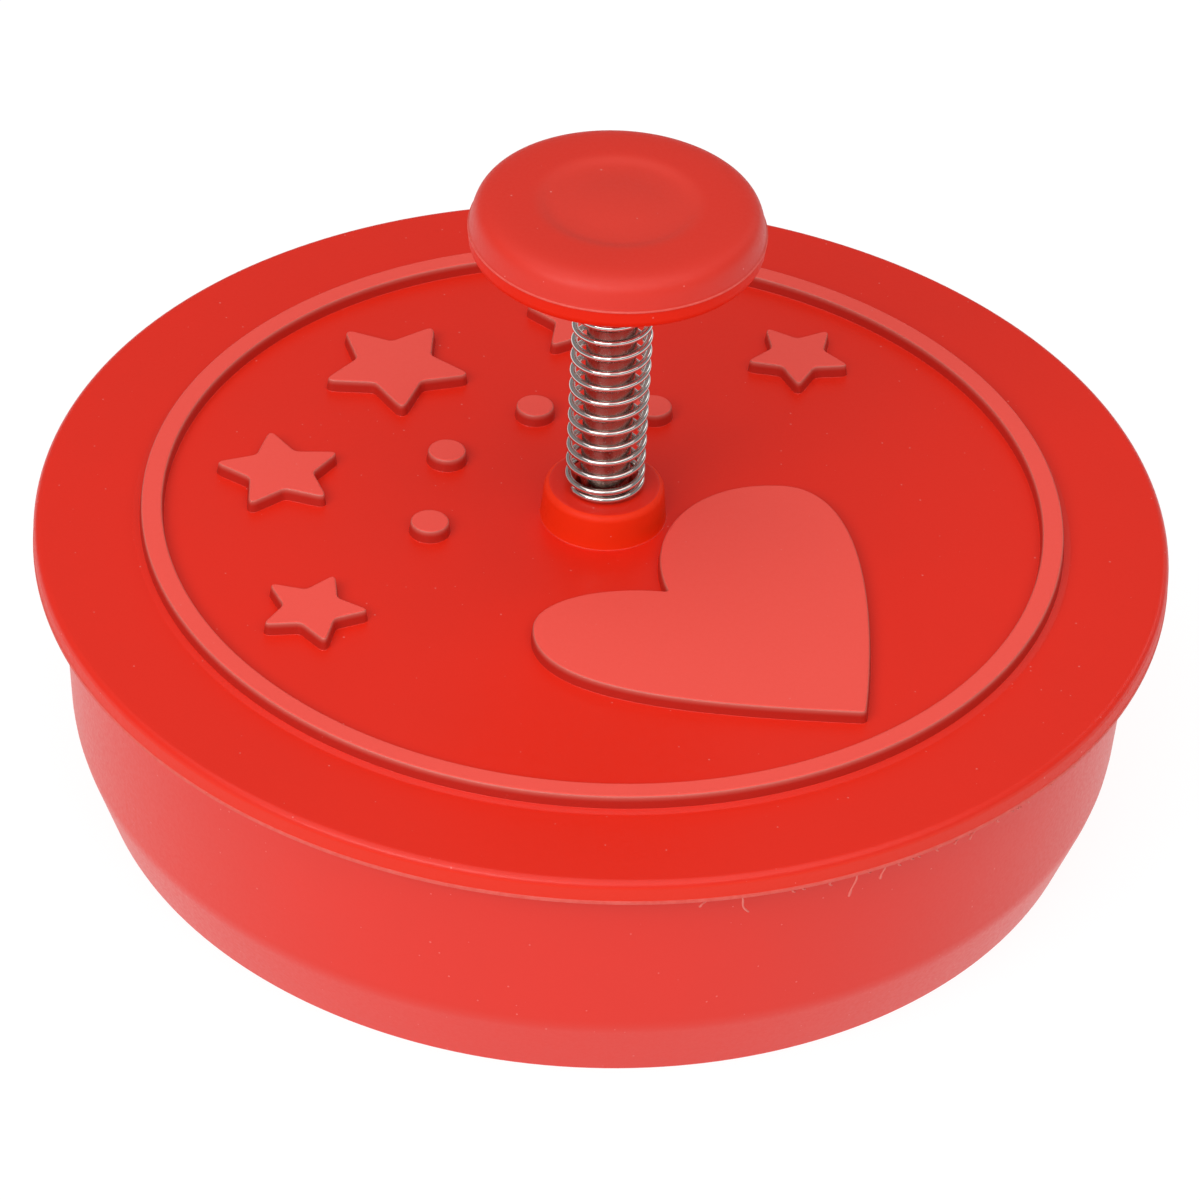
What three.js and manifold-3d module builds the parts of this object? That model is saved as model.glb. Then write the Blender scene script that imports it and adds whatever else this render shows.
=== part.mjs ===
// A plunger cookie stamp: a moulded cutter with a flange and a bevelled rim, and a sprung plunger
// of knob, rod, spring and stamp plate that prints the dough and pushes the cookie out.
// Millimetres, +Z up. The origin is the centre of the cutting rim, in the plane it stands on.

import * as THREE from "three";
import { mergeVertices } from "three/addons/utils/BufferGeometryUtils.js";
import Module from "manifold-3d";

// Cutter: the rim sets the cookie's size, and each step outwards is added to it
const cookieR = 37.0; // inside of the cutting rim
const rimLand = 0.8; // flat land of the rim, blunt enough for fingers
const bevelDepth = 1.9; // how far the bevel runs out above the rim
const bevelHeight = 5.6;
const skirtDraft = 0.7; // taper of the skirt above the bevel
const skirtWall = 2.0;
const flangeOverhang = 1.95;
const flangeRound = 0.5; // top edge of the flange
const flangeLowerRound = 0.2;
const cutterHeight = 21.4; // rim to top face
const topThick = 2.0; // top plate and flange

// Guide boss and rod
const rodR = 1.85;
const guideClearance = 0.3; // rod to guide bore, on the radius
const bossWall = 2.3; // at its top
const bossDraft = 0.25; // how far the boss's foot stands out from its top
const bossHeight = 2.85;
const bossRound = 0.35;
const rodChamfer = 0.3;
const pressGap = 0.05; // between faces that are pressed or screwed together

// Stamp plate, with a hub on its back that stops under the top plate
const stampClearance = 0.5; // plate to rim, on the radius
const stampThick = 2.0;
const stampEdgeRound = 0.4;
const stopGap = 0.3; // hub to top plate when the spring has returned
const hubHeight = 3.6;
const hubWall = 2.7;
const hubFillet = 0.8;
const hubFloor = 1.6; // what the screw clamps against the rod

// Screw under the stamp plate
const screwR = 1.0;
const screwHoleClearance = 0.15;
const screwLength = 6.0;
const screwHeadR = 1.9;
const screwHeadHeight = 1.0;
const screwHeadSink = 0.2; // head below the plate's face
const screwHeadClearance = 0.35;
const screwTipRoom = 0.6; // hole left below the screw's tip
const crossLength = 2.4; // cross recess in the head
const crossWidth = 0.5;
const crossDepth = 0.6;

// Return spring: one closed turn at each end and open turns between
const springWire = 0.5;
const springRodClearance = 0.65;
const springLength = 20.85; // between its two seats, as fitted
const springEndTurns = 1.0;
const springOpenTurns = 14.5;
const springEndGap = 0.45; // between the wires of an end turn and the next
const springStart = 212; // degrees from +X to the cut end on the boss
const springSteps = 8; // for each turn
const springSides = 5;
const seatGap = 0.1; // spring to boss and to knob

// Knob
const knobR = 10.8; // at the parting lip
const knobLipHeight = 1.6; // underside to the middle of the lip
const knobLipThick = 0.3;
const knobLipStep = 0.15; // lip beyond the surfaces above and below it
const knobUnderRound = 1.2;
const knobHeight = 3.95; // underside to crown
const knobShoulderRise = 1.93; // how far the side's curve climbs from the lip
const knobShoulderLean = 0.4; // and how far it leans inwards there
const knobShoulderInset = 0.57; // where the shoulder turns level, inside the side
const knobCrownMargin = 2.65; // lip to the circle of the crown, which is level
const knobDishReach = 2.3; // how far the crown runs level inwards
const knobDishWall = 3.85; // circle of the crown to the level floor of the dish
const knobDishDepth = 0.4;
const rodInKnob = 2.5;

// Raised design, alike on the top of the cutter and on the face of the stamp
const reliefHeight = 1.0;
const reliefDraft = 0.15; // how far a relief's foot stands out from its top
const reliefRoot = 0.3; // how deep a relief is rooted in its plate
const ringMargin = 2.2; // edge of the stamp plate to the ring's top
const ringWidth = 1.5;
const heartMargin = 2.4; // ring to the heart's tip
const heartBearing = -50.3; // degrees from +X to the tip
const heartFlank = 26.7; // tip to the top of the longer lobe
const starMargin = 3.4; // ring to the outer points of a star
const starArcStart = 55;
const starArcStep = 40;
const starRadii = [4.2, 5.0, 6.0, 5.0, 4.2]; // outer points, along the arc
const starPoints = 5;
const starInnerShare = 0.5; // inner corners of a star against its outer points
const starPointRound = 0.22; // share of an edge that rounds off a point
const dotR = 1.4;
const dotRow = 13.2; // circle that the dots stand on

// Facets
const discSteps = 64;
const knobSteps = 48;
const rodSteps = 32;
const curveSteps = 4;
const heartSteps = 9;
const pointSteps = 3;
const dotSteps = 12;
const mergeWithin = 1e-4; // vertices this close are one

// Sizes that follow from those above
const rimR = cookieR + rimLand;
const bevelR = rimR + bevelDepth;
const skirtTopR = bevelR + skirtDraft;
const flangeR = skirtTopR + flangeOverhang;
const topUnder = cutterHeight - topThick;
const boreR = rodR + guideClearance;
const bossR = boreR + bossWall;
const bossTop = cutterHeight + bossHeight;
const stampR = cookieR - stampClearance;
const hubTop = topUnder - stopGap;
const stampBack = hubTop - hubHeight;
const stampFace = stampBack - stampThick;
const socketR = rodR + pressGap;
const hubR = socketR + hubWall;
const headRecessTop = stampFace + screwHeadHeight + screwHeadSink;
const socketFloor = headRecessTop + hubFloor;
const rodBottom = socketFloor + pressGap;
const springBottom = bossTop + seatGap;
const springTop = springBottom + springLength;
const knobUnder = springTop + seatGap;
const knobCrown = knobUnder + knobHeight;
const rodTop = knobUnder + rodInKnob;
const screwHeadTop = headRecessTop - pressGap;
const screwTip = screwHeadTop + screwLength;
const ringOuterR = stampR - ringMargin;
const ringInnerR = ringOuterR - ringWidth;

const wasm = await Module();
wasm.setup();

// A closed geometry as a solid that can be joined and cut
function solidOf(geometry) {
  const bare = geometry.clone();
  bare.deleteAttribute("normal");
  bare.deleteAttribute("uv");
  const merged = mergeVertices(bare, mergeWithin);
  const mesh = new wasm.Mesh({
    numProp: 3,
    vertProperties: merged.attributes.position.array,
    triVerts: new Uint32Array(merged.index.array),
  });
  return new wasm.Manifold(mesh);
}

// A solid as a geometry for a mesh
function geometryOf(solid) {
  const mesh = solid.getMesh();
  const geometry = new THREE.BufferGeometry();
  geometry.setAttribute("position", new THREE.BufferAttribute(mesh.vertProperties, 3));
  geometry.setIndex(new THREE.BufferAttribute(mesh.triVerts, 1));
  geometry.computeVertexNormals();
  return geometry;
}

// A profile of (radius, height), drawn anticlockwise round its material, turned about Z
function revolve(profile, steps) {
  const lathe = new THREE.LatheGeometry(profile.getPoints(curveSteps), steps);
  return lathe.rotateX(Math.PI / 2);
}

// A relief with drafted walls: its top outline is the shape, on both faces of a slab that is
// reliefRoot thick from z = 0, so that the same relief can stand on a top or hang from a face
function relief(shape, steps) {
  const slab = new THREE.ExtrudeGeometry(shape, {
    depth: reliefRoot,
    bevelThickness: reliefHeight,
    bevelSize: reliefDraft,
    bevelSegments: 1,
    curveSegments: steps,
  });
  return solidOf(slab);
}

// The heart is drawn from its tip in shares of its flank, one flank along +Y and the other along -X
function heartShape() {
  const bearing = THREE.MathUtils.degToRad(heartBearing);
  const tipR = ringInnerR - heartMargin;
  const tipX = tipR * Math.cos(bearing);
  const tipY = tipR * Math.sin(bearing);
  const at = (x, y) => [tipX + x * heartFlank, tipY + y * heartFlank];
  const shape = new THREE.Shape();
  shape.moveTo(...at(0, 0));
  shape.bezierCurveTo(...at(0.026, 0.318), ...at(0.034, 1), ...at(-0.228, 1));
  shape.bezierCurveTo(...at(-0.494, 1), ...at(-0.622, 0.727), ...at(-0.536, 0.483));
  shape.bezierCurveTo(...at(-0.719, 0.498), ...at(-0.9, 0.416), ...at(-0.9, 0.296));
  shape.bezierCurveTo(...at(-0.9, -0.011), ...at(-0.348, 0), ...at(0, 0));
  return shape;
}

// A star with rounded points, one of them facing away from the centre of the plate
function starShape(outerR, bearing) {
  const corners = [];
  const count = 2 * starPoints;
  for (let i = 0; i < count; i += 1) {
    const r = i % 2 === 0 ? outerR : outerR * starInnerShare;
    const turn = bearing + (i * Math.PI) / starPoints;
    corners.push(new THREE.Vector2(r * Math.cos(turn), r * Math.sin(turn)));
  }
  const centreR = ringInnerR - starMargin - outerR;
  const centre = new THREE.Vector2(Math.cos(bearing), Math.sin(bearing)).multiplyScalar(centreR);
  const shape = new THREE.Shape();
  for (let i = 0; i < count; i += 2) {
    const point = corners[i].clone().add(centre);
    const before = corners[(i + count - 1) % count].clone().add(centre);
    const after = corners[i + 1].clone().add(centre);
    const enter = point.clone().lerp(before, starPointRound);
    const leave = point.clone().lerp(after, starPointRound);
    if (i === 0) shape.moveTo(enter.x, enter.y);
    else shape.lineTo(enter.x, enter.y);
    shape.quadraticCurveTo(point.x, point.y, leave.x, leave.y);
    shape.lineTo(after.x, after.y);
  }
  shape.closePath();
  return shape;
}

// A round dot on the inner row
function dotShape(bearing) {
  const points = [];
  for (let i = 0; i < dotSteps; i += 1) {
    const turn = (i * 2 * Math.PI) / dotSteps;
    const x = dotRow * Math.cos(bearing) + dotR * Math.cos(turn);
    const y = dotRow * Math.sin(bearing) + dotR * Math.sin(turn);
    points.push(new THREE.Vector2(x, y));
  }
  return new THREE.Shape(points);
}

// Heart, an arc of stars and a dot between each two stars
function ornaments() {
  let design = relief(heartShape(), heartSteps);
  starRadii.forEach((outerR, i) => {
    const bearing = THREE.MathUtils.degToRad(starArcStart + i * starArcStep);
    const between = bearing + THREE.MathUtils.degToRad(starArcStep / 2);
    design = design.add(relief(starShape(outerR, bearing), pointSteps));
    if (i < starRadii.length - 1) design = design.add(relief(dotShape(between), 1));
  });
  return design;
}

// Cutter: top plate, flange, skirt, rim, ring and boss are one turned profile
function cutterGeometry() {
  const profile = new THREE.Path();
  const edge = cutterHeight - flangeRound;
  profile.moveTo(boreR, topUnder);
  profile.lineTo(skirtTopR - skirtWall, topUnder);
  profile.lineTo(bevelR - skirtWall, bevelHeight);
  profile.lineTo(cookieR, 0);
  profile.lineTo(rimR, 0);
  profile.lineTo(bevelR, bevelHeight);
  profile.lineTo(skirtTopR, topUnder);
  profile.lineTo(flangeR - flangeLowerRound, topUnder);
  profile.lineTo(flangeR, topUnder + flangeLowerRound);
  profile.lineTo(flangeR, edge);
  profile.quadraticCurveTo(flangeR, cutterHeight, flangeR - flangeRound, cutterHeight);
  profile.lineTo(ringOuterR + reliefDraft, cutterHeight);
  profile.lineTo(ringOuterR, cutterHeight + reliefHeight);
  profile.lineTo(ringInnerR, cutterHeight + reliefHeight);
  profile.lineTo(ringInnerR - reliefDraft, cutterHeight);
  profile.lineTo(bossR + bossDraft, cutterHeight);
  profile.lineTo(bossR, bossTop - bossRound);
  profile.quadraticCurveTo(bossR, bossTop, bossR - bossRound, bossTop);
  profile.lineTo(boreR, bossTop);
  profile.lineTo(boreR, topUnder);
  const turned = solidOf(revolve(profile, discSteps));
  const design = ornaments().translate([0, 0, cutterHeight - reliefRoot]);
  return geometryOf(turned.add(design));
}

// Stamp plate: the design faces down, and the hub on the back takes the rod
function stampGeometry() {
  const headRecessR = screwHeadR + screwHeadClearance;
  const screwHoleR = screwR + screwHoleClearance;
  const profile = new THREE.Path();
  profile.moveTo(headRecessR, stampFace);
  profile.lineTo(ringInnerR - reliefDraft, stampFace);
  profile.lineTo(ringInnerR, stampFace - reliefHeight);
  profile.lineTo(ringOuterR, stampFace - reliefHeight);
  profile.lineTo(ringOuterR + reliefDraft, stampFace);
  profile.lineTo(stampR - stampEdgeRound, stampFace);
  profile.quadraticCurveTo(stampR, stampFace, stampR, stampFace + stampEdgeRound);
  profile.lineTo(stampR, stampBack);
  profile.lineTo(hubR + hubFillet, stampBack);
  profile.quadraticCurveTo(hubR, stampBack, hubR, stampBack + hubFillet);
  profile.lineTo(hubR, hubTop);
  profile.lineTo(socketR, hubTop);
  profile.lineTo(socketR, socketFloor);
  profile.lineTo(screwHoleR, socketFloor);
  profile.lineTo(screwHoleR, headRecessTop);
  profile.lineTo(headRecessR, headRecessTop);
  profile.lineTo(headRecessR, stampFace);
  const turned = solidOf(revolve(profile, discSteps));
  const design = ornaments().translate([0, 0, stampFace]);
  return geometryOf(turned.add(design));
}

// Rod: chamfered at both ends, with a hole for the screw in the lower one
function rodGeometry() {
  const holeR = screwR + pressGap;
  const holeTop = screwTip + screwTipRoom;
  const profile = new THREE.Path();
  profile.moveTo(0, holeTop);
  profile.lineTo(holeR, holeTop);
  profile.lineTo(holeR, rodBottom);
  profile.lineTo(rodR - rodChamfer, rodBottom);
  profile.lineTo(rodR, rodBottom + rodChamfer);
  profile.lineTo(rodR, rodTop - rodChamfer);
  profile.lineTo(rodR - rodChamfer, rodTop);
  profile.lineTo(0, rodTop);
  return revolve(profile, rodSteps);
}

// Screw: pan head with a cross recess, shank up into the rod
function screwGeometry() {
  const headBottom = screwHeadTop - screwHeadHeight;
  const headEdge = screwHeadHeight / 2;
  const profile = new THREE.Path();
  profile.moveTo(0, headBottom);
  profile.lineTo(screwHeadR - headEdge, headBottom);
  profile.quadraticCurveTo(screwHeadR, headBottom, screwHeadR, headBottom + headEdge);
  profile.lineTo(screwHeadR, screwHeadTop);
  profile.lineTo(screwR, screwHeadTop);
  profile.lineTo(screwR, screwTip);
  profile.lineTo(0, screwTip);
  let screw = solidOf(revolve(profile, rodSteps));
  for (const turn of [0, Math.PI / 2]) {
    const slot = new THREE.BoxGeometry(crossLength, crossWidth, 2 * crossDepth);
    slot.rotateZ(turn);
    slot.translate(0, 0, headBottom);
    screw = screw.subtract(solidOf(slot));
  }
  return geometryOf(screw);
}

// Height of the wire's centre after a number of turns from the lower end
function springHeight(turns) {
  const endPitch = springWire + springEndGap;
  const rise = springLength - springWire - 2 * springEndTurns * endPitch;
  const openPitch = rise / springOpenTurns;
  const open = THREE.MathUtils.clamp(turns - springEndTurns, 0, springOpenTurns);
  return springBottom + springWire / 2 + (turns - open) * endPitch + open * openPitch;
}

// Spring: a right-hand helix whose wire runs straight for its own diameter at each end
function springGeometry() {
  const coilR = rodR + springRodClearance + springWire / 2;
  const turnsInAll = springOpenTurns + 2 * springEndTurns;
  const steps = Math.round(turnsInAll * springSteps);
  const line = [];
  for (let i = 0; i <= steps; i += 1) {
    const turns = (i / steps) * turnsInAll;
    const angle = THREE.MathUtils.degToRad(springStart) + turns * 2 * Math.PI;
    line.push(new THREE.Vector3(coilR * Math.cos(angle), coilR * Math.sin(angle), springHeight(turns)));
  }
  const straight = (from, angle, way) =>
    new THREE.Vector3(-Math.sin(angle), Math.cos(angle), 0).multiplyScalar(way * springWire).add(from);
  const startAngle = THREE.MathUtils.degToRad(springStart);
  const endAngle = startAngle + turnsInAll * 2 * Math.PI;
  line.unshift(straight(line[0], startAngle, -1));
  line.push(straight(line[line.length - 1], endAngle, 1));
  printLeastGap(line);
  return tubeGeometry(line);
}

// The least gap between two stretches of wire that lie half a turn or more apart
function printLeastGap(line) {
  let least = Infinity;
  for (let i = 0; i < line.length; i += 1)
    for (let j = i + springSteps / 2; j < line.length; j += 1)
      least = Math.min(least, line[i].distanceTo(line[j]) - springWire);
  console.log(`return_spring: least gap to itself ${least.toFixed(2)} mm`);
}

// A closed tube of springSides round a line that winds about Z
function tubeGeometry(line) {
  const positions = [];
  const indices = [];
  line.forEach((point, i) => {
    const along = line[Math.min(i + 1, line.length - 1)].clone().sub(line[Math.max(i - 1, 0)]).normalize();
    const outwards = new THREE.Vector3(point.x, point.y, 0);
    outwards.addScaledVector(along, -outwards.dot(along)).normalize();
    const upwards = new THREE.Vector3().crossVectors(along, outwards);
    for (let s = 0; s < springSides; s += 1) {
      const turn = (s * 2 * Math.PI) / springSides;
      const corner = point.clone();
      corner.addScaledVector(outwards, (springWire / 2) * Math.cos(turn));
      corner.addScaledVector(upwards, (springWire / 2) * Math.sin(turn));
      positions.push(corner.x, corner.y, corner.z);
    }
  });
  const at = (i, s) => i * springSides + (s % springSides);
  for (let i = 0; i < line.length - 1; i += 1)
    for (let s = 0; s < springSides; s += 1) {
      indices.push(at(i, s), at(i, s + 1), at(i + 1, s));
      indices.push(at(i, s + 1), at(i + 1, s + 1), at(i + 1, s));
    }
  const last = line.length - 1;
  for (let s = 1; s < springSides - 1; s += 1) {
    indices.push(at(0, 0), at(0, s + 1), at(0, s));
    indices.push(at(last, 0), at(last, s), at(last, s + 1));
  }
  const geometry = new THREE.BufferGeometry();
  geometry.setAttribute("position", new THREE.Float32BufferAttribute(positions, 3));
  geometry.setIndex(indices);
  geometry.computeVertexNormals();
  return geometry;
}

// Knob: flat underside with a socket, a parting lip at its widest, a dished crown
function knobGeometry() {
  const sideR = knobR - knobLipStep;
  const lipLow = knobUnder + knobLipHeight - knobLipThick / 2;
  const lipHigh = lipLow + knobLipThick;
  const socketTop = rodTop + pressGap;
  const dish = knobCrown - knobDishDepth;
  const profile = new THREE.Path();
  profile.moveTo(0, socketTop);
  profile.lineTo(socketR, socketTop);
  profile.lineTo(socketR, knobUnder);
  profile.lineTo(sideR - knobUnderRound, knobUnder);
  profile.quadraticCurveTo(sideR, knobUnder, sideR, lipLow);
  profile.lineTo(knobR, lipLow);
  profile.lineTo(knobR, lipHigh);
  profile.lineTo(sideR, lipHigh);
  const leanR = sideR - knobShoulderLean;
  const levelR = sideR - knobShoulderInset;
  const crownR = knobR - knobCrownMargin;
  profile.bezierCurveTo(leanR, lipHigh + knobShoulderRise, levelR, knobCrown, crownR, knobCrown);
  profile.bezierCurveTo(crownR - knobDishReach, knobCrown, crownR - knobDishWall, dish, 0, dish);
  return revolve(profile, knobSteps);
}

const redPlastic = { color: 0xe03026, roughness: 0.5, metalness: 0 };
const steel = { color: 0xc9c6c2, roughness: 0.22, metalness: 1 };

function piece(name, geometry, finish) {
  const mesh = new THREE.Mesh(geometry, new THREE.MeshStandardMaterial(finish));
  mesh.name = name;
  return mesh;
}

const plunger = new THREE.Group();
plunger.add(
  piece("knob", knobGeometry(), redPlastic),
  piece("plunger_rod", rodGeometry(), steel),
  piece("stamp_plate", stampGeometry(), redPlastic),
  piece("stamp_screw", screwGeometry(), steel),
);

const cookieStamp = new THREE.Group();
cookieStamp.add(
  piece("cutter_body", cutterGeometry(), redPlastic),
  piece("return_spring", springGeometry(), steel),
  plunger,
);

export default cookieStamp;
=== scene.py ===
# A plunger cookie stamp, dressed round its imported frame: a red moulded cutter with a raised ring
# and ornaments, a sprung steel plunger through its top, and a mushroom knob to press.
# Shapes are worked out in millimetres, with the cutting rim at height 0, and made in metres.

import math

import bmesh
import bpy
import numpy as np
from mathutils import Matrix, Vector


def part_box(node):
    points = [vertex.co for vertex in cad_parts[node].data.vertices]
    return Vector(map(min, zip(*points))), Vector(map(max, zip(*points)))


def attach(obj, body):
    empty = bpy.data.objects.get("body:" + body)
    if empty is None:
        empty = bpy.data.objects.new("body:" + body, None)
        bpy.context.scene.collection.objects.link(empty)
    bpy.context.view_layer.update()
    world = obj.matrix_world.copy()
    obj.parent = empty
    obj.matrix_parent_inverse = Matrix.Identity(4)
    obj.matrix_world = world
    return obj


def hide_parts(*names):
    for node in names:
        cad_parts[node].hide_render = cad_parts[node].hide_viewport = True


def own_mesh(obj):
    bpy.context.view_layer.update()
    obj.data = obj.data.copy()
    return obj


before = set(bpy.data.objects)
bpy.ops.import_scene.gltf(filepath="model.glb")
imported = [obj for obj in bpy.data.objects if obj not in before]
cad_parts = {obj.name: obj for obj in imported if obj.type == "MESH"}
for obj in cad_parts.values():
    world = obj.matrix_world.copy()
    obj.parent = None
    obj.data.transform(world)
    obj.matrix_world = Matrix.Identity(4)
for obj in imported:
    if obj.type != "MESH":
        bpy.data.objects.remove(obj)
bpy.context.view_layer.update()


# Cutter: one injection moulding in red polypropylene. A top plate overhangs a tapered skirt as a
# flange, the skirt is bevelled to a cutting rim, and a guide boss and a raised ring stand on top.
mm = 0.001
cutter_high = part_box("cutter_body")[1]
flange_r = cutter_high.x / mm
boss_top = cutter_high.z / mm
boss_height = 2.85
boss_draft = 0.25
boss_foot = 0.12
cutter_height = boss_top - boss_height
top_thick = 2.0
top_under = cutter_height - top_thick
rim_r = 37.8
rim_land = 0.8
bevel_r = 39.7
bevel_height = 5.6
skirt_top_r = 40.4
skirt_wall = 2.0
boss_r = 4.45
bore_r = 2.15
ring_outer_r = 34.3
ring_inner_r = 32.8
relief_height = 1.0
relief_draft = 0.15
relief_edge = 0.2
relief_foot = 0.05
relief_wall_span = [0.03, 0.97]
roll_r = 39.0
roll_drop = 0.15
flash = 0.05
flash_thick = 0.28
flash_margin = flash / 5
ring_foot_step = 0.14
ring_foot_width = 0.5
ring_reach = 3.0
finish_margin = 0.05
# radii of the moulding's softened corners
crisp_edge = 0.1
rim_edge = 0.2
bevel_inner_round = 6.0
bevel_outer_round = 5.0
skirt_inner_round = 1.0
skirt_outer_round = 0.4
flash_edge = 0.05
flange_edge = 0.6
roll_round = 6.0
ring_foot_round = 0.5
boss_edge = 0.6
bore_edge = 0.25
disc_steps = 224
arc_step = math.radians(12)
# most of a noise texture lies between these values
noise_low = 0.3
noise_high = 0.7
dust_colour = "f3c3ba"


def linear(hex_colour):
    """An sRGB hex colour as the linear colour that a shader takes."""
    parts = [int(hex_colour[i : i + 2], 16) / 255 for i in (0, 2, 4)]
    return [p / 12.92 if p <= 0.04045 else ((p + 0.055) / 1.055) ** 2.4 for p in parts] + [1]


def add_node(tree, kind, inputs, **settings):
    """A shader node with its settings, and each input given a value or linked to a socket."""
    node = tree.nodes.new(kind)
    for name, value in settings.items():
        setattr(node, name, value)
    for name, value in inputs.items():
        if isinstance(value, bpy.types.NodeSocket):
            tree.links.new(value, node.inputs[name])
        else:
            node.inputs[name].default_value = value
    return node


def new_material(name):
    """An empty node material, its node tree and the coordinates of the piece in metres."""
    material = bpy.data.materials.new(name)
    material.use_nodes = True
    tree = material.node_tree
    tree.nodes.clear()
    return material, tree, add_node(tree, "ShaderNodeTexCoord", {}).outputs["Object"]


def moulded_polypropylene(
    name, colour, faded, roughness, specks, gloss=0.5, mottle_mm=9.0, fade=None
):
    """Polypropylene as it leaves a fine-spark mould: satin, faintly mottled, with a fine grain and
    pale dust. Given a fade of (axes, start, end), it fades by the distance along these axes instead
    of in a mottle. The grain is drawn coarser than the real 0.05 mm, so that it shows."""
    grain_mm = 0.3
    grain_depth_mm = 0.02
    speck_cell_mm = 0.7
    speck_mm = 0.08
    speck_share = 0.3
    rough_swing = 0.05
    material, tree, place = new_material(name)
    mottle = add_node(
        tree, "ShaderNodeTexNoise", {"Vector": place, "Scale": 1 / (mottle_mm * mm), "Detail": 4.0}
    )
    share = mottle.outputs["Fac"]
    if fade:
        axes, start, end = fade
        along = add_node(tree, "ShaderNodeVectorMath", {0: place, 1: axes}, operation="MULTIPLY")
        distance = add_node(
            tree, "ShaderNodeVectorMath", {0: along.outputs["Vector"]}, operation="LENGTH"
        )
        share = add_node(
            tree,
            "ShaderNodeMapRange",
            {"Value": distance.outputs["Value"], "From Min": start * mm, "From Max": end * mm},
            interpolation_type="SMOOTHSTEP",
        ).outputs["Result"]
    tint = add_node(
        tree,
        "ShaderNodeMix",
        {"Factor": share, "A": linear(colour), "B": linear(faded)},
        data_type="RGBA",
    )
    cells = add_node(
        tree, "ShaderNodeTexVoronoi", {"Vector": place, "Scale": 1 / (speck_cell_mm * mm)}
    )
    cell_pick = add_node(tree, "ShaderNodeSeparateColor", {"Color": cells.outputs["Color"]})
    speck_size = add_node(
        tree,
        "ShaderNodeMapRange",
        {
            "Value": cell_pick.outputs["Red"],
            "From Min": 1 - speck_share,
            "From Max": 1.0,
            "To Min": 0.0,
            "To Max": speck_mm / speck_cell_mm,
        },
    )
    in_speck = add_node(
        tree,
        "ShaderNodeMath",
        {0: cells.outputs["Distance"], 1: speck_size.outputs["Result"]},
        operation="LESS_THAN",
    )
    dust = add_node(
        tree, "ShaderNodeMath", {0: in_speck.outputs[0], 1: specks}, operation="MULTIPLY"
    )
    dusted = add_node(
        tree,
        "ShaderNodeMix",
        {"Factor": dust.outputs[0], "A": tint.outputs["Result"], "B": linear(dust_colour)},
        data_type="RGBA",
    )
    grain = add_node(
        tree, "ShaderNodeTexNoise", {"Vector": place, "Scale": 1 / (grain_mm * mm), "Detail": 2.0}
    )
    rough = add_node(
        tree,
        "ShaderNodeMapRange",
        {
            "Value": grain.outputs["Fac"],
            "From Min": noise_low,
            "From Max": noise_high,
            "To Min": roughness - rough_swing,
            "To Max": roughness + rough_swing,
        },
    )
    bump = add_node(
        tree,
        "ShaderNodeBump",
        {"Height": grain.outputs["Fac"], "Strength": 0.25, "Distance": grain_depth_mm * mm},
    )
    surface = add_node(
        tree,
        "ShaderNodeBsdfPrincipled",
        {
            "Base Color": dusted.outputs["Result"],
            "Roughness": rough.outputs["Result"],
            "Normal": bump.outputs["Normal"],
            "IOR": 1.42,
            "Specular IOR Level": gloss,
        },
    )
    add_node(tree, "ShaderNodeOutputMaterial", {"Surface": surface.outputs["BSDF"]})
    return material


def round_corners(corners, closed):
    """Points along corners of (x, y, radius), each corner turned into an arc of that radius."""
    edge_share = 0.49
    points = []
    for i, (x, y, radius) in enumerate(corners):
        here = Vector((x, y))
        if radius == 0 or not (closed or 0 < i < len(corners) - 1):
            points.append((x, y))
            continue
        before = Vector(corners[i - 1][:2]) - here
        after = Vector(corners[(i + 1) % len(corners)][:2]) - here
        half = before.angle(after) / 2
        room = edge_share * min(before.length, after.length)
        reach = min(radius / math.tan(half), room)
        start = here + before.normalized() * reach
        end = here + after.normalized() * reach
        middle = (before.normalized() + after.normalized()).normalized()
        centre = here + middle * (reach / math.cos(half))
        arm = start - centre
        sweep = math.copysign(math.pi - 2 * half, arm.cross(end - centre))
        steps = max(2, math.ceil(abs(sweep) / arc_step))
        for k in range(steps + 1):
            turn = sweep * k / steps
            points.append(
                (
                    centre.x + arm.x * math.cos(turn) - arm.y * math.sin(turn),
                    centre.y + arm.x * math.sin(turn) + arm.y * math.cos(turn),
                )
            )
    return points


def turned(bm, profile, steps, slot_at):
    """A profile of (radius, height) turned about Z. It closes on itself or ends on the axis."""
    rings = []
    for radius, height in profile:
        count = steps if radius > 0 else 1
        turns = [2 * math.pi * k / steps for k in range(count)]
        rings.append(
            [
                bm.verts.new(Vector((radius * math.cos(t), radius * math.sin(t), height)) * mm)
                for t in turns
            ]
        )
    pairs = len(rings) if len(rings[0]) > 1 else len(rings) - 1
    for i in range(pairs):
        j = (i + 1) % len(rings)
        middle = [(a + b) / 2 for a, b in zip(profile[i], profile[j])]
        for k in range(steps):
            n = k + 1
            corners = [rings[i][k % len(rings[i])], rings[j][k % len(rings[j])]]
            corners += [rings[j][n % len(rings[j])], rings[i][n % len(rings[i])]]
            bm.faces.new(dict.fromkeys(corners)).material_index = slot_at(*middle)


def plain(*place):
    """The material slot of a piece that has one finish."""
    return 0


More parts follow.
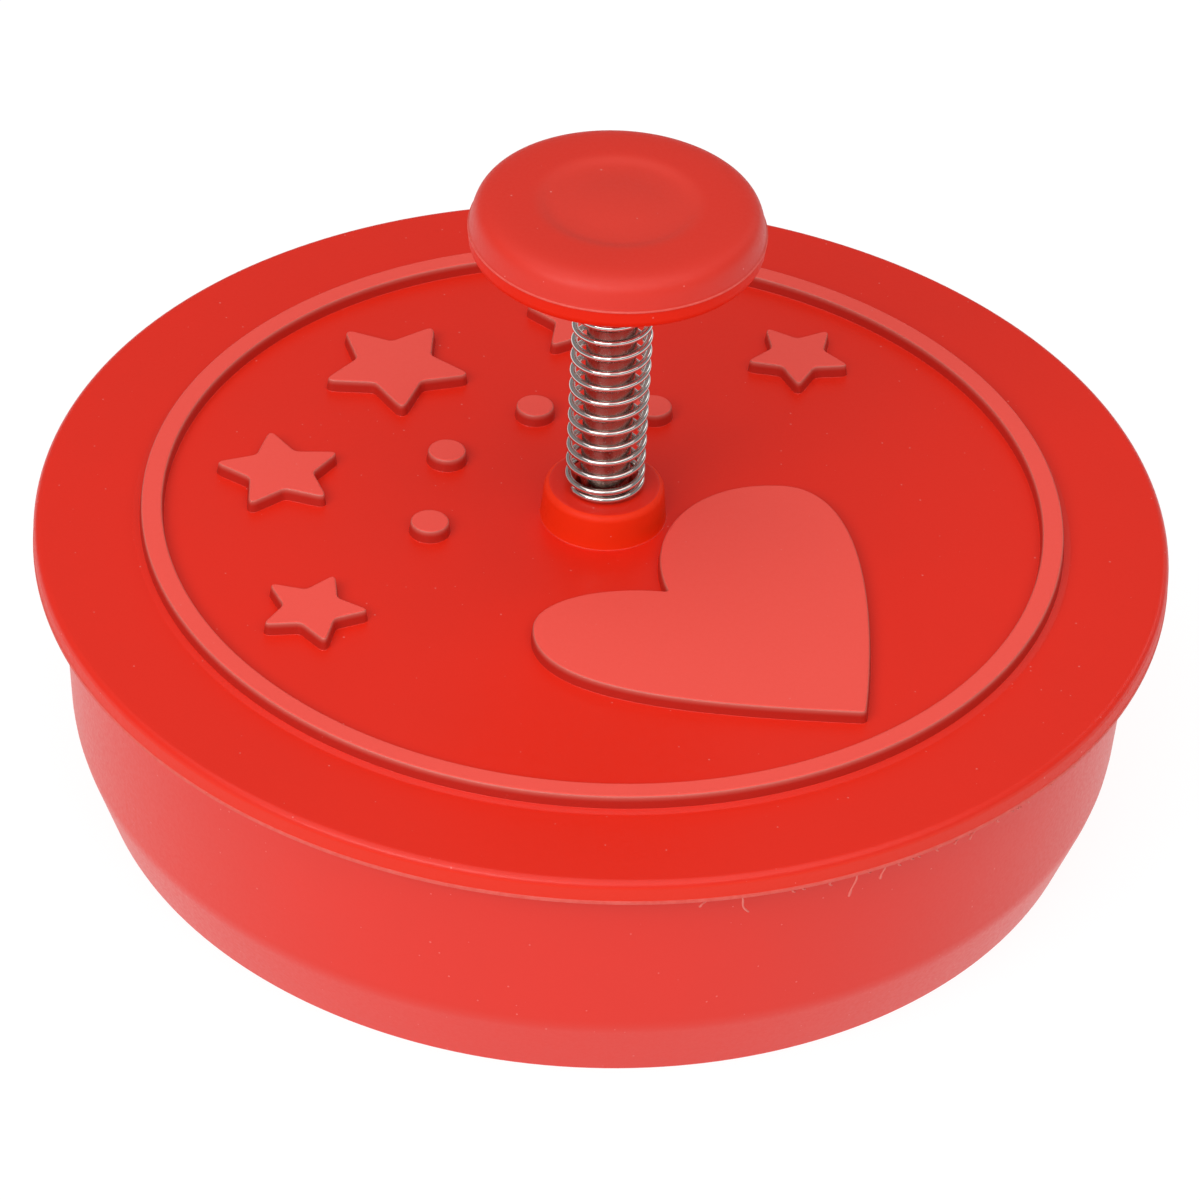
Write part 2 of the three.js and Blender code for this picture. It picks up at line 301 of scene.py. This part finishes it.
def new_piece(name, bm, materials):
    """A smooth object of a closed mesh, with normals weighted by area so that flats stay flat."""
    bmesh.ops.recalc_face_normals(bm, faces=bm.faces)
    mesh = bpy.data.meshes.new(name)
    bm.to_mesh(mesh)
    bm.free()
    for material in materials:
        mesh.materials.append(material)
    mesh.shade_smooth()
    normals = np.zeros((len(mesh.vertices), 3))
    for polygon in mesh.polygons:
        normals[list(polygon.vertices)] += np.array(polygon.normal) * polygon.area
    normals /= np.linalg.norm(normals, axis=1)[:, None]
    mesh.normals_split_custom_set_from_vertices(normals)
    piece = bpy.data.objects.new(name, mesh)
    bpy.context.scene.collection.objects.link(piece)
    return piece


def relief_slot(height):
    """Finish of a relief by its height over the plate: body, wall (painted shade and sheen) or top.
    """
    return int(np.searchsorted(relief_wall_span, height / relief_height))


def cutter_slot(radius, height):
    """Finish of the turned moulding: flash pale from scuffing and a painted highlight, the flange's
    upright side with less sheen, the boss's sides brighter as painted light, the ring, and body.
    """
    if radius > flange_side_r + flash_margin and height < top_under + flash_thick + flash:
        return 4
    if radius > flange_side_r - finish_margin and height < cutter_height - roll_drop:
        return 5
    by_boss = radius < boss_r + boss_draft + boss_foot
    if by_boss and cutter_height + finish_margin < height < boss_top - finish_margin:
        return 3
    by_ring = abs(radius - ring_outer_r) < ring_reach
    return relief_slot(height - cutter_height) if by_ring else 0


# each with its colour, the colour that it fades or mottles to, its roughness and its dust
red_body = moulded_polypropylene("polypropylene_red_moulded", "e62612", "e02713", 0.36, 0.2)
# painted shade and sheen on the relief walls: darker red at the foot, paler pink near the top edge
relief_wall = moulded_polypropylene(
    "polypropylene_red_relief_wall_painted_shade_and_sheen",
    "c0281c",
    "d4685c",
    0.42,
    0.1,
    fade=((0, 0, 1), cutter_height + 0.5, cutter_height + relief_height),
)
coral_top = moulded_polypropylene("polypropylene_coral_relief_top", "f15347", "ef5146", 0.6, 0.1)
# painted light on the boss's sides: a brighter, more saturated red for the front light and red
# bounce
boss_side_painted_light = moulded_polypropylene(
    "polypropylene_red_boss_side_painted_light", "f6330d", "f4320c", 0.5, 0.5, gloss=0.25
)
# flash and knob lip: a paler, finely mottled red, partly scuffing and partly a painted edge
# highlight
scuff_and_painted_highlight = moulded_polypropylene(
    "polypropylene_red_scuffed", "d83a2e", "e6665b", 0.6, 0.2, mottle_mm=0.5
)
flange_side = moulded_polypropylene(
    "polypropylene_red_flange_side", "e82b11", "e62b12", 0.5, 0.3, gloss=0.35
)
moulding_finishes = [red_body, relief_wall, coral_top, boss_side_painted_light, scuff_and_painted_highlight, flange_side]

ring_top = cutter_height + relief_height
ring_foot_r = ring_outer_r + relief_draft
flange_side_r = flange_r - flash
cutter_profile = round_corners(
    [
        (bore_r, top_under, crisp_edge),
        (skirt_top_r - skirt_wall, top_under, skirt_inner_round),
        (bevel_r - skirt_wall, bevel_height, bevel_inner_round),
        (rim_r - rim_land, 0, crisp_edge),
        (rim_r, 0, rim_edge),
        (bevel_r, bevel_height, bevel_outer_round),
        (skirt_top_r, top_under, skirt_outer_round),
        (flange_side_r, top_under, flash_edge),
        (flange_r, top_under + flash, flash_edge),
        (flange_r, top_under + flash_thick, crisp_edge),
        (flange_side_r, top_under + flash_thick + flash, crisp_edge),
        (flange_side_r, cutter_height - roll_drop, flange_edge),
        (roll_r, cutter_height - ring_foot_step, roll_round),
        (ring_foot_r + ring_foot_width, cutter_height - ring_foot_step, ring_foot_round),
        (ring_foot_r, cutter_height, relief_foot),
        (ring_outer_r, ring_top, relief_edge),
        (ring_inner_r, ring_top, relief_edge),
        (ring_inner_r - relief_draft, cutter_height, relief_foot),
        (boss_r + boss_draft, cutter_height, boss_foot),
        (boss_r, boss_top, boss_edge),
        (bore_r, boss_top, bore_edge),
    ],
    True,
)
cutter_mesh = bmesh.new()
turned(cutter_mesh, cutter_profile, disc_steps, cutter_slot)
cutter = new_piece("cutter_moulding", cutter_mesh, moulding_finishes)
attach(cutter, "cutter")
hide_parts("cutter_body")


# Moulding hairs: strands and crumbs of flash, drawn out of the flange's lower edge as the moulding
# left its tool. They are the same plastic, stretched thin and pale, and hang on the parting line.
hair_r = 0.065
hair_bead = 0.7
hair_bead_rate = 5.5
hair_wave_rate = 7
hair_steps = 17
hair_sides = 6
# bearing in degrees, length and how far the tip swings sideways
hairs = [
    (-75.0, 1.5, 0.5),
    (-78.5, 0.6, -0.4),
    (-63.5, 1.9, -0.5),
    (-60.5, 1.1, -0.3),
    (-52.0, 0.5, -0.3),
    (-50.0, 0.7, -0.4),
    (-44.0, 0.4, 0.2),
]
# the crumbs stand along the same stretch, at uneven places and of uneven lengths
crumb_count = 16
crumb_start = -70
crumb_spacing = 2.4
crumb_shift = 1.5
crumb_shift_rate = 5.1
crumb_length = 0.36
crumb_length_swing = 0.12
crumb_length_rate = 3.7
crumb_swing = 0.1
for i in range(crumb_count):
    bearing = crumb_start + crumb_spacing * i + crumb_shift * math.sin(crumb_shift_rate * i)
    length = crumb_length + crumb_length_swing * math.sin(crumb_length_rate * i)
    hairs.append((bearing, length, crumb_swing))

stretched = moulded_polypropylene("polypropylene_red_stretched", "dc6155", "e67a70", 0.6, 0.0)
hair_mesh = bmesh.new()
for bearing, length, swing in hairs:
    outwards = Vector((math.cos(math.radians(bearing)), math.sin(math.radians(bearing)), 0))
    sideways = Vector((-outwards.y, outwards.x, 0))
    root = outwards * (flange_side_r - hair_r)
    root.z = top_under + flash_thick / 2
    loops = []
    for i in range(hair_steps):
        t = i / (hair_steps - 1)
        bend = math.sin(hair_wave_rate * t) * hair_r
        middle = root + sideways * (swing * t * t + bend) - Vector((0, 0, length * t))
        thick = hair_r * (1 + hair_bead * math.sin(hair_bead_rate * t) ** 2 * t)
        loop = []
        for k in range(hair_sides):
            turn = 2 * math.pi * k / hair_sides
            side = outwards * math.cos(turn) + sideways * math.sin(turn)
            loop.append(hair_mesh.verts.new((middle + side * thick) * mm))
        loops.append(loop)
    for loop, after in zip(loops, loops[1:]):
        for k in range(hair_sides):
            n = (k + 1) % hair_sides
            hair_mesh.faces.new((loop[k], loop[n], after[n], after[k]))
    hair_mesh.faces.new(loops[0])
    hair_mesh.faces.new(loops[-1])
flash_hairs = new_piece("cutter_flash_hairs", hair_mesh, [stretched])
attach(flash_hairs, "cutter")


# Ornaments on the top: a heart, an arc of stars and a dot between each two stars, raised from the
# same moulding with drafted walls, soft edges and flat coral tops.
heart_tip_r = ring_inner_r - 2.4
heart_bearing = math.radians(-50.3)
heart_flank = 26.7
heart_tip_leg = 0.35
heart_notch_leg = 0.4
star_margin = 3.4
star_radii = [4.2, 5.0, 6.0, 5.0, 4.2]
star_points = 5
star_inner_share = 0.5
star_tip_share = 0.25
star_notch_leg = 0.4
star_first = 55
star_pitch = 40
star_arc = [math.radians(star_first + star_pitch * i) for i in range(len(star_radii))]
dot_r = 1.4
dot_row = 13.2
dot_steps = 40
outline_step = 0.6
curve_steps = 40
corner_steps = 6
relief_root = 0.3
relief_hem = 0.3
relief_hem_drop = 0.02


def bezier(a, b, c, d, steps):
    """Points along a cubic curve, its two ends included."""
    t = np.linspace(0, 1, steps + 1)[:, None]
    a, b, c, d = (np.array(p) for p in (a, b, c, d))
    return (1 - t) ** 3 * a + 3 * t * (1 - t) ** 2 * b + 3 * t**2 * (1 - t) * c + t**3 * d


def point_along(path, distance):
    """The point of a path at a distance from its start, or from its end if it is negative."""
    lengths = np.append(0, np.cumsum(np.linalg.norm(np.diff(path, axis=0), axis=1)))
    distance = distance if distance >= 0 else lengths[-1] + distance
    return np.array([np.interp(distance, lengths, path[:, i]) for i in (0, 1)])


def soft_outline(paths, legs):
    """A closed outline of paths that meet at corners, each softened over its leg's length."""
    points = []
    for i, path in enumerate(paths):
        n = (i + 1) % len(paths)
        length = np.linalg.norm(np.diff(path, axis=0), axis=1).sum()
        steps = max(1, round(length / outline_step)) if len(path) > 2 else 1
        for distance in np.linspace(legs[i], length - legs[n], steps + 1):
            points.append(point_along(path, distance))
        corner, leave = path[-1], point_along(paths[n], legs[n])
        enter = points[-1]
        for k in range(1, corner_steps):
            t = k / corner_steps
            points.append((1 - t) ** 2 * enter + 2 * t * (1 - t) * corner + t**2 * leave)
    return np.array(points)


def heart_outline():
    """The heart from its tip, one flank along +Y and the other along -X, in shares of a flank."""
    tip = heart_tip_r * np.array([math.cos(heart_bearing), math.sin(heart_bearing)])
    point = (0, 0)
    right_top = (-0.228, 1)
    notch = (-0.536, 0.483)
    left_end = (-0.9, 0.296)
    right = bezier(point, (0.026, 0.318), (0.034, 1), right_top, curve_steps)
    right_lobe = bezier(right_top, (-0.494, 1), (-0.622, 0.727), notch, curve_steps)
    left_lobe = bezier(notch, (-0.719, 0.498), (-0.9, 0.416), left_end, curve_steps)
    left = bezier(left_end, (-0.9, -0.011), (-0.348, 0), point, curve_steps)
    up = tip + heart_flank * np.concatenate([right, right_lobe[1:]])
    down = tip + heart_flank * np.concatenate([left_lobe, left[1:]])
    return soft_outline([up, down], [heart_tip_leg, heart_notch_leg])


def star_outline(outer_r, bearing):
    """A star with one point facing away from the centre of the plate."""
    centre_r = ring_inner_r - star_margin - outer_r
    centre = centre_r * np.array([math.cos(bearing), math.sin(bearing)])
    corners = []
    for i in range(2 * star_points):
        r = outer_r * (star_inner_share if i % 2 else 1)
        turn = bearing + i * math.pi / star_points
        corners.append(centre + r * np.array([math.cos(turn), math.sin(turn)]))
    edges = [np.array(pair) for pair in zip(corners, corners[1:] + corners[:1])]
    tip_leg = star_tip_share * np.linalg.norm(edges[0][1] - edges[0][0])
    return soft_outline(edges, [tip_leg, star_notch_leg] * star_points)


def dot_outline(bearing):
    """A round dot on the inner row."""
    turns = np.linspace(0, 2 * math.pi, dot_steps, endpoint=False)
    centre = dot_row * np.array([math.cos(bearing), math.sin(bearing)])
    return centre + dot_r * np.column_stack([np.cos(turns), np.sin(turns)])


def add_relief(bm, outline, plate, way, slot_at):
    """A closed relief on a plate: flat top, soft edge, drafted wall, flared hem, sunk root."""
    # the first point only gives the top its direction
    section = round_corners(
        [
            (-1, relief_height, 0),
            (0, relief_height, relief_edge),
            (relief_draft, 0, relief_foot),
            (relief_draft + relief_hem, -relief_hem_drop, 0),
        ],
        False,
    )[1:]
    section.append((relief_draft + relief_hem, -relief_root))
    along = np.roll(outline, -1, 0) - np.roll(outline, 1, 0)
    along /= np.linalg.norm(along, axis=1)[:, None]
    outwards = np.column_stack([along[:, 1], -along[:, 0]])
    loops = []
    for offset, height in section:
        level = (plate + way * height) * mm
        loops.append([bm.verts.new((*(p * mm), level)) for p in outline + outwards * offset])
    for i, (upper, lower) in enumerate(zip(loops, loops[1:])):
        slot = slot_at((section[i][1] + section[i + 1][1]) / 2)
        for k in range(len(upper)):
            n = (k + 1) % len(upper)
            bm.faces.new((upper[k], lower[k], lower[n], upper[n])).material_index = slot
    bm.faces.new(loops[0]).material_index = slot_at(relief_height)
    bm.faces.new(loops[-1])


def add_ornaments(name, plate, way, slot_at, materials, body):
    """The heart and the stars with their dots, as two pieces on a plate."""
    between = [(a + b) / 2 for a, b in zip(star_arc, star_arc[1:])]
    stars = [star_outline(r, bearing) for r, bearing in zip(star_radii, star_arc)]
    dots = [dot_outline(bearing) for bearing in between]
    for kind, outlines in (("heart", [heart_outline()]), ("stars", stars + dots)):
        bm = bmesh.new()
        for outline in outlines:
            add_relief(bm, outline, plate, way, slot_at)
        ornament = new_piece(f"{name}_{kind}", bm, materials)
        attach(ornament, body)


add_ornaments("cutter", cutter_height, 1, relief_slot, moulding_finishes, "cutter")


# Return spring: bright drawn steel wire coiled right-handed, with a closed turn at each end. It
# sits loose on the rod, between the boss and the knob.
knob_low, knob_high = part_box("knob")
knob_under = knob_low.z / mm
spring_gap = 0.02
spring_wire = 0.5
spring_coil_r = 2.75
spring_bottom = boss_top + spring_gap
spring_length = knob_under - spring_gap - spring_bottom
spring_turns = 16.5
spring_end_turns = 0.75
spring_ease_turns = 0.5
spring_end_pitch = 0.55
spring_start = math.radians(212)
spring_steps = 40
spring_sides = 14


def drawn_steel(name, colour, roughness, streak_mm):
    """Polished or drawn steel: a clear reflection, broken by fine draw lines along the wire. The
    lines are drawn wider than the real 0.01 mm, so that they show."""
    rough_swing = 0.3
    line_depth_mm = 0.01
    material, tree, place = new_material(name)
    along = add_node(
        tree, "ShaderNodeMapping", {"Vector": place, "Scale": (1 / streak_mm / mm,) * 3}
    )
    streak = add_node(
        tree, "ShaderNodeTexNoise", {"Vector": along.outputs["Vector"], "Scale": 1.0, "Detail": 3.0}
    )
    rough = add_node(
        tree,
        "ShaderNodeMapRange",
        {
            "Value": streak.outputs["Fac"],
            "From Min": noise_low,
            "From Max": noise_high,
            "To Min": roughness * (1 - rough_swing),
            "To Max": roughness * (1 + rough_swing),
        },
    )
    bump = add_node(
        tree,
        "ShaderNodeBump",
        {"Height": streak.outputs["Fac"], "Strength": 0.08, "Distance": line_depth_mm * mm},
    )
    surface = add_node(
        tree,
        "ShaderNodeBsdfPrincipled",
        {
            "Base Color": linear(colour),
            "Metallic": 1.0,
            "Roughness": rough.outputs["Result"],
            "Normal": bump.outputs["Normal"],
        },
    )
    add_node(tree, "ShaderNodeOutputMaterial", {"Surface": surface.outputs["BSDF"]})
    return material


def spring_heights(turns):
    """Heights of the wire's centre: end turns nearly closed, easing into an even open pitch."""
    from_end = np.minimum(turns, spring_turns - turns)
    ease = np.clip((from_end - spring_end_turns) / spring_ease_turns, 0, 1)
    share = np.concatenate([[0], np.cumsum((ease[1:] + ease[:-1]) / 2 * np.diff(turns))])
    rise = spring_length - spring_wire
    closed = spring_end_pitch * turns
    return spring_bottom + spring_wire / 2 + closed + share * (rise - closed[-1]) / share[-1]


spring_steel = drawn_steel("steel_wire_bright_drawn", "dad6d2", 0.06, 0.4)
turns_along = np.linspace(0, spring_turns, round(spring_turns * spring_steps) + 1)
angles = spring_start + 2 * math.pi * turns_along
wire_line = np.column_stack(
    [spring_coil_r * np.cos(angles), spring_coil_r * np.sin(angles), spring_heights(turns_along)]
)
spring_mesh = bmesh.new()
wire_rings = []
for point, way in zip(wire_line, np.gradient(wire_line, axis=0)):
    way = Vector(way).normalized()
    outwards = Vector((point[0], point[1], 0)).normalized()
    upwards = way.cross(outwards)
    ring = []
    for k in range(spring_sides):
        turn = 2 * math.pi * k / spring_sides
        side = outwards * math.cos(turn) + upwards * math.sin(turn)
        ring.append(spring_mesh.verts.new((Vector(point) + side * spring_wire / 2) * mm))
    wire_rings.append(ring)
for ring, after in zip(wire_rings, wire_rings[1:]):
    for k in range(spring_sides):
        n = (k + 1) % spring_sides
        spring_mesh.faces.new((ring[k], ring[n], after[n], after[k]))
spring_mesh.faces.new(wire_rings[0])
spring_mesh.faces.new(wire_rings[-1])
spring = new_piece("spring_coil", spring_mesh, [spring_steel])
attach(spring, "spring")
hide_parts("return_spring")
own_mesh(spring)


# Plunger rod: ground and polished steel, pressed into the knob and screwed to the stamp plate. It
# mirrors the red moulding round it.
rod_low, rod_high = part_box("plunger_rod")
rod_r = rod_high.x / mm
rod_bottom = rod_low.z / mm
rod_top = rod_high.z / mm
rod_chamfer = 0.3
rod_steps = 96
screw_hole_r = 1.05
screw_hole_top = 21.25

# painted shade and painted reflection: the steel is darker and warmer, for the spring's shade and
# the red it mirrors
rod_steel = drawn_steel("steel_rod_polished_painted_shade", "a2958d", 0.22, 0.25)
rod_profile = round_corners(
    [
        (0, screw_hole_top, 0),
        (screw_hole_r, screw_hole_top, crisp_edge),
        (screw_hole_r, rod_bottom, crisp_edge),
        (rod_r - rod_chamfer, rod_bottom, crisp_edge),
        (rod_r, rod_bottom + rod_chamfer, rod_chamfer),
        (rod_r, rod_top - rod_chamfer, rod_chamfer),
        (rod_r - rod_chamfer, rod_top, crisp_edge),
        (0, rod_top, 0),
    ],
    False,
)
rod_mesh = bmesh.new()
turned(rod_mesh, rod_profile, rod_steps, plain)
rod = new_piece("rod_polished", rod_mesh, [rod_steel])
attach(rod, "plunger")
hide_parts("plunger_rod")


# Knob: a mushroom moulded in the same red polypropylene and pressed onto the rod. Its crown has a
# shallow groove round a low dome, and its thin parting lip is pale from scuffing and a painted
# highlight.
knob_r = knob_high.x / mm
knob_crown = knob_high.z / mm
knob_steps = 128
crown_steps = 16
shoulder_steps = 24
seat_gap = 0.05
seat_edge = 0.05
socket_r = rod_r + seat_gap
socket_mouth = 0.3
under_round = 1.2
lip_rise = 1.52
lip_thick = 0.16
lip_reach = 0.1
lip_slope = 0.03
lip_foot = 0.03
lip_edge = 0.04
lip_margin = 0.02
lip_low = knob_under + lip_rise
lip_high = lip_low + lip_thick
side_r = knob_r - lip_reach
shoulder_rise = 1.93
shoulder_lean = 0.4
shoulder_inset = 0.38
crown_r = 6.6
dish_edge_r = 6.5
groove_r = 4.5
groove_depth = 0.28
dome_drop = 0.04
dome_foot_share = 0.63
dome_top_share = 0.53
painted_sheen_r = 5.4

# painted sheen on the crown: its middle is paler than the rest, in place of the groove's and dome's
# shading
knob_red = moulded_polypropylene(
    "polypropylene_red_handled_painted_sheen",
    "da3424",
    "da2c1a",
    0.5,
    0.3,
    gloss=0.6,
    fade=((1, 1, 0), painted_sheen_r, crown_r),
)
# painted bounce light under the lip: a deeper, more saturated red for red light thrown up from the
# plate
knob_side = moulded_polypropylene(
    "polypropylene_red_knob_side_painted_bounce", "e82408", "e62307", 0.5, 0.2, gloss=0.2
)


def knob_slot(radius, height):
    """The lip's edge is pale from scuffing and a painted highlight, the side under it is a deeper
    red of painted bounce light, and the top is dulled by handling, its middle painted paler as a
    sheen.
    """
    if height > lip_high:
        return 0
    return 1 if radius > side_r + lip_margin and height > lip_low else 2


knob_profile = round_corners(
    [
        (0, rod_top + seat_gap, 0),
        (socket_r, rod_top + seat_gap, seat_edge),
        (socket_r, knob_under, socket_mouth),
        (side_r, knob_under, under_round),
        (side_r, lip_low, lip_foot),
        (knob_r, lip_low + lip_slope, lip_edge),
        (knob_r, lip_high - lip_slope, lip_edge),
        (side_r, lip_high, 0),
    ],
    False,
)
shoulder = bezier(
    (side_r, lip_high),
    (side_r - shoulder_lean, lip_high + shoulder_rise),
    (side_r - shoulder_inset, knob_crown),
    (crown_r, knob_crown),
    shoulder_steps,
)
groove_wall_r = (dish_edge_r + groove_r) / 2
groove = bezier(
    (dish_edge_r, knob_crown),
    (groove_wall_r, knob_crown),
    (groove_wall_r, knob_crown - groove_depth),
    (groove_r, knob_crown - groove_depth),
    crown_steps,
)
dome = bezier(
    (groove_r, knob_crown - groove_depth),
    (dome_foot_share * groove_r, knob_crown - groove_depth),
    (dome_top_share * groove_r, knob_crown - dome_drop),
    (0, knob_crown - dome_drop),
    crown_steps,
)
knob_profile += [tuple(p) for p in (*shoulder[1:], *groove, *dome[1:])]
knob_mesh = bmesh.new()
turned(knob_mesh, knob_profile, knob_steps, knob_slot)
knob = new_piece("knob_moulding", knob_mesh, [knob_red, scuff_and_painted_highlight, knob_side])
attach(knob, "plunger")
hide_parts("knob")


# Stamp plate: a disc moulded in the same red polypropylene, which slides inside the skirt. The same
# design is raised on its underside to print the dough, and a hub on its back takes the rod.
stamp_low, stamp_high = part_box("stamp_plate")
stamp_r = stamp_high.x / mm
hub_top = stamp_high.z / mm
stamp_face = stamp_low.z / mm + relief_height
stamp_thick = 2.0
stamp_back = stamp_face + stamp_thick
hub_r = 4.6
head_recess_r = 2.25
head_recess_depth = 1.2
head_recess_top = stamp_face + head_recess_depth
plate_hole_r = 1.15
stamp_face_edge = 0.4
stamp_back_edge = 0.2
hub_foot = 0.8
hub_edge = 0.3

stamp_profile = round_corners(
    [
        (head_recess_r, stamp_face, crisp_edge),
        (ring_inner_r - relief_draft, stamp_face, relief_foot),
        (ring_inner_r, stamp_face - relief_height, relief_edge),
        (ring_outer_r, stamp_face - relief_height, relief_edge),
        (ring_outer_r + relief_draft, stamp_face, relief_foot),
        (stamp_r, stamp_face, stamp_face_edge),
        (stamp_r, stamp_back, stamp_back_edge),
        (hub_r, stamp_back, hub_foot),
        (hub_r, hub_top, hub_edge),
        (socket_r, hub_top, crisp_edge),
        (socket_r, rod_bottom - seat_gap, seat_edge),
        (plate_hole_r, rod_bottom - seat_gap, seat_edge),
        (plate_hole_r, head_recess_top, seat_edge),
        (head_recess_r, head_recess_top, seat_edge),
    ],
    True,
)
stamp_mesh = bmesh.new()
turned(stamp_mesh, stamp_profile, disc_steps, plain)
stamp = new_piece("stamp_moulding", stamp_mesh, [red_body])
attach(stamp, "plunger")
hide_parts("stamp_plate")
add_ornaments("stamp", stamp_face, -1, plain, [red_body], "plunger")


# Stamp screw: a small zinc-plated steel pan-head screw with a cross recess, driven up through the
# stamp plate into the rod. Its solid keeps its shape and takes this finish.
plated_steel = drawn_steel("steel_zinc_plated", "c4c6c9", 0.3, 0.5)
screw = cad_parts["stamp_screw"]
screw.data.materials.clear()
screw.data.materials.append(plated_steel)


# Studio: a table of white acrylic lit from below, a white room and large soft lights, seen with a
# long lens from the photograph's place.
floor_half = 8.0
floor_drop = 0.02
floor_mottle_mm = 250 / 3
floor_glow = 0.91
room_light = 0.26

floor_material, floor_tree, floor_place = new_material("acrylic_white_lit_from_below")
floor_tone = add_node(
    floor_tree,
    "ShaderNodeTexNoise",
    {"Vector": floor_place, "Scale": 1 / (floor_mottle_mm * mm), "Detail": 2.0},
)
floor_colour = add_node(
    floor_tree,
    "ShaderNodeMix",
    {"Factor": floor_tone.outputs["Fac"], "A": linear("666666"), "B": linear("6a6a6a")},
    data_type="RGBA",
)
floor_surface = add_node(
    floor_tree,
    "ShaderNodeBsdfPrincipled",
    {
        "Base Color": floor_colour.outputs["Result"],
        "Roughness": 0.9,
        "Specular IOR Level": 0.1,
        "Emission Color": linear("ffffff"),
        "Emission Strength": floor_glow,
    },
)
add_node(floor_tree, "ShaderNodeOutputMaterial", {"Surface": floor_surface.outputs["BSDF"]})
floor_mesh = bmesh.new()
bmesh.ops.create_grid(floor_mesh, x_segments=8, y_segments=8, size=floor_half)
floor_data = bpy.data.meshes.new("floor")
floor_mesh.to_mesh(floor_data)
floor_mesh.free()
floor_data.materials.append(floor_material)
floor = bpy.data.objects.new("floor", floor_data)
floor.location.z = -floor_drop * mm
bpy.context.scene.collection.objects.link(floor)

world = bpy.data.worlds.new("studio_room")
world.use_nodes = True
world.node_tree.nodes["Background"].inputs["Color"].default_value = linear("ffffff")
world.node_tree.nodes["Background"].inputs["Strength"].default_value = room_light
bpy.context.scene.world = world


def soft_light(name, bearing, elevation, distance, width, height, watts):
    """A soft box that faces the stamp. Bearing 0 is at the camera, 90 on its right."""
    data = bpy.data.lights.new(name, "AREA")
    data.shape = "RECTANGLE"
    data.size = width
    data.size_y = height
    data.energy = watts
    light = bpy.data.objects.new(name, data)
    turn, rise = math.radians(bearing), math.radians(elevation)
    away = Vector(
        (math.sin(turn) * math.cos(rise), -math.cos(turn) * math.cos(rise), math.sin(rise))
    )
    light.location = away * distance
    light.rotation_euler = away.to_track_quat("Z", "Y").to_euler()
    bpy.context.scene.collection.objects.link(light)


# bearing and elevation in degrees, then distance, width and height in metres, then watts
soft_light("light_top", -15, 72, 0.9, 1.4, 1.4, 7.1)
soft_light("light_left", -30, 38, 0.5, 0.36, 0.16, 0.76)
soft_light("light_right", 50, 42, 0.7, 0.6, 0.12, 0.36)
soft_light("light_edge", 138, 32, 0.7, 0.12, 0.3, 0.17)

# the camera is placed in millimetres from the middle of the cutter's top, which it shows at disc_px
photo_px = 1200
focal_px = 5392.57
camera_distance = 402.4
camera_rise = math.radians(36.66)
camera_roll = math.radians(-2.99)
disc_centre = Vector((0, 0, cutter_height))
disc_px = Vector((602.89, 512.67))

camera_data = bpy.data.cameras.new("camera")
camera_data.sensor_width = 36
camera_data.lens = focal_px / photo_px * camera_data.sensor_width
camera_data.clip_start = 0.01
camera = bpy.data.objects.new("camera", camera_data)
bpy.context.scene.collection.objects.link(camera)
back = Vector((0, -math.cos(camera_rise), math.sin(camera_rise)))
up = Vector((0, math.sin(camera_rise), math.cos(camera_rise)))
level = Matrix(((1, 0, 0), up, back))
roll = Matrix.Rotation(camera_roll, 3, "Z")
sight = Vector((disc_px.x - photo_px / 2, photo_px / 2 - disc_px.y, -focal_px))
aim = Vector((0, 0, -1)).rotation_difference(sight).to_matrix()
camera_view = aim @ roll @ level
camera_place = (disc_centre + back * camera_distance) * mm
camera.matrix_world = Matrix.Translation(camera_place) @ camera_view.transposed().to_4x4()
bpy.context.scene.camera = camera
bpy.context.scene.view_settings.view_transform = "Standard"
